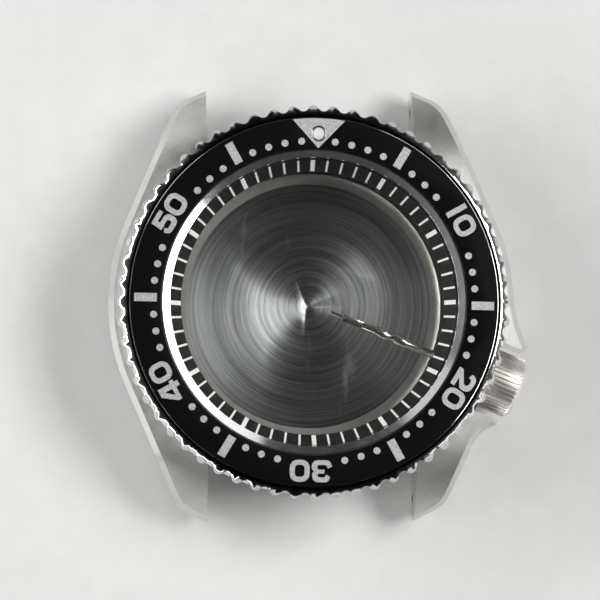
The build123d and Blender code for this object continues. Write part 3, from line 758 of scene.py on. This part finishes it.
stageLook = {
    "floorSize": 1.6, "floorDrop": 0.02 * mm, "floorRoughness": 0.6, "floorGrain": (300, 300, 300),
    "floorDark": (0.89, 0.885, 0.875), "floorLight": (0.93, 0.925, 0.915),
    "panelReach": 0.375, "panelHeight": 0.20, "panelSize": (0.20, 0.07),
    "panels": ((150, 12), (180, 12), (210, 4), (236, 2.5)),
    "fillSize": (0.18, 0.10), "fillGlow": 1.2, "fillPlace": (0.31, -0.21, 0.19),
    "highSize": (0.30, 0.16), "highGlow": 9, "highPlace": (0.29, 0.078, 0.37),
}
roomLook = {
    "side": 0.22, "sideHeight": 0.45, "top": 0.02, "topHeight": 0.85,
    "dimSide": 0.06, "dimUntil": 0.5, "horizon": 1.0, "horizonHeights": (0.10, 0.38),
    "farSide": 0.12, "farRange": (-0.1, 0.9),
}
cameraLook = {
    "place": (-19.50 * mm, -14.13 * mm, 302.94 * mm), "aim": (-1.128 * mm, 0.483 * mm, 6.0 * mm),
    "roll": -0.27, "lens": 168.67, "sensor": 36, "clipStart": 0.01,
}

deselectAll()
bpy.ops.mesh.primitive_plane_add(size=stageLook["floorSize"], location=(0, 0, -stageLook["floorDrop"]))
floor = bpy.context.object
floor.name = "paleFloor"
floorPaint, tree, shader = newMaterial("paleFloorPaint", roughness=stageLook["floorRoughness"])
speckle = noiseOn(tree, objectPoint(tree, stageLook["floorGrain"]), detail=4)
tint = colourBetween(tree, speckle.outputs[0], stageLook["floorDark"], stageLook["floorLight"])
tree.links.new(tint, shader.inputs["Base Color"])
giveMaterial(floor, floorPaint)


def softLight(name, size, glow, place):
    # glow is the panel's brightness, so its power follows from its size
    lamp = bpy.data.lights.new(name, "AREA")
    lamp.shape = "RECTANGLE"
    lamp.size, lamp.size_y = size
    lamp.energy = glow * pi * size[0] * size[1]
    light = bpy.data.objects.new(name, lamp)
    scene.collection.objects.link(light)
    light.location = place
    light.rotation_euler = (-Vector(place)).to_track_quat("-Z", "Y").to_euler()


panelStart = Vector((stageLook["panelReach"], 0, stageLook["panelHeight"]))
for azimuth, glow in stageLook["panels"]:
    place = Matrix.Rotation(radians(azimuth), 3, "Z") @ panelStart
    softLight("keyLight", stageLook["panelSize"], glow, place)
softLight("fillLight", stageLook["fillSize"], stageLook["fillGlow"], stageLook["fillPlace"])
softLight("highLight", stageLook["highSize"], stageLook["highGlow"], stageLook["highPlace"])

# a dim room: darker overhead and towards 12 and 6 o'clock, with a bright horizon on the near side
world = bpy.data.worlds.new("studioRoom")
scene.world = world
world.use_nodes = True
tree = world.node_tree
direction = addNode(tree, "ShaderNodeTexCoord").outputs["Generated"]
upward = addNode(tree, "ShaderNodeSeparateXYZ", {0: direction}).outputs["Z"]
flat = addNode(tree, "ShaderNodeVectorMath", {0: direction, 1: (1, 1, 0)}, operation="MULTIPLY")
flatWay = addNode(tree, "ShaderNodeVectorMath", {0: flat.outputs[0]}, operation="NORMALIZE")
around = addNode(tree, "ShaderNodeSeparateXYZ", {0: flatWay.outputs[0]})
height = colourBetween(tree, upward, (roomLook["side"],) * 3, (roomLook["top"],) * 3,
                       roomLook["sideHeight"], roomLook["topHeight"])
sideways = addNode(tree, "ShaderNodeMath", {0: around.outputs["X"]}, operation="ABSOLUTE")
side = rangeOf(tree, sideways.outputs[0], roomLook["dimSide"], 1.0, roomLook["dimUntil"], 1.0)
room = addNode(tree, "ShaderNodeVectorMath", {0: height, 1: side}, operation="MULTIPLY")
glow = rangeOf(tree, upward, roomLook["horizon"], 0.0, *roomLook["horizonHeights"])
nearSide = rangeOf(tree, around.outputs["Y"], 1.0, roomLook["farSide"], *roomLook["farRange"])
horizon = addNode(tree, "ShaderNodeMath", {0: glow, 1: nearSide}, operation="MULTIPLY")
shade = addNode(tree, "ShaderNodeVectorMath", {0: room.outputs[0], 1: horizon.outputs[0]}, operation="ADD")
tree.links.new(shade.outputs[0], tree.nodes["Background"].inputs["Color"])

cameraData = bpy.data.cameras.new("photoCamera")
cameraData.lens = cameraLook["lens"]
cameraData.sensor_width = cameraLook["sensor"]
cameraData.sensor_fit = "HORIZONTAL"
cameraData.clip_start = cameraLook["clipStart"]
camera = bpy.data.objects.new("photoCamera", cameraData)
scene.collection.objects.link(camera)
back = (Vector(cameraLook["place"]) - Vector(cameraLook["aim"])).normalized()
right = Vector((0, 1, 0)).cross(back).normalized()
up = back.cross(right)
axes = Matrix((right, up, back)).transposed().to_4x4()
roll = Matrix.Rotation(radians(cameraLook["roll"]), 4, "Z")
camera.matrix_world = Matrix.Translation(cameraLook["place"]) @ axes @ roll
scene.camera = camera
scene.view_settings.view_transform = "Standard"
print("stage done")
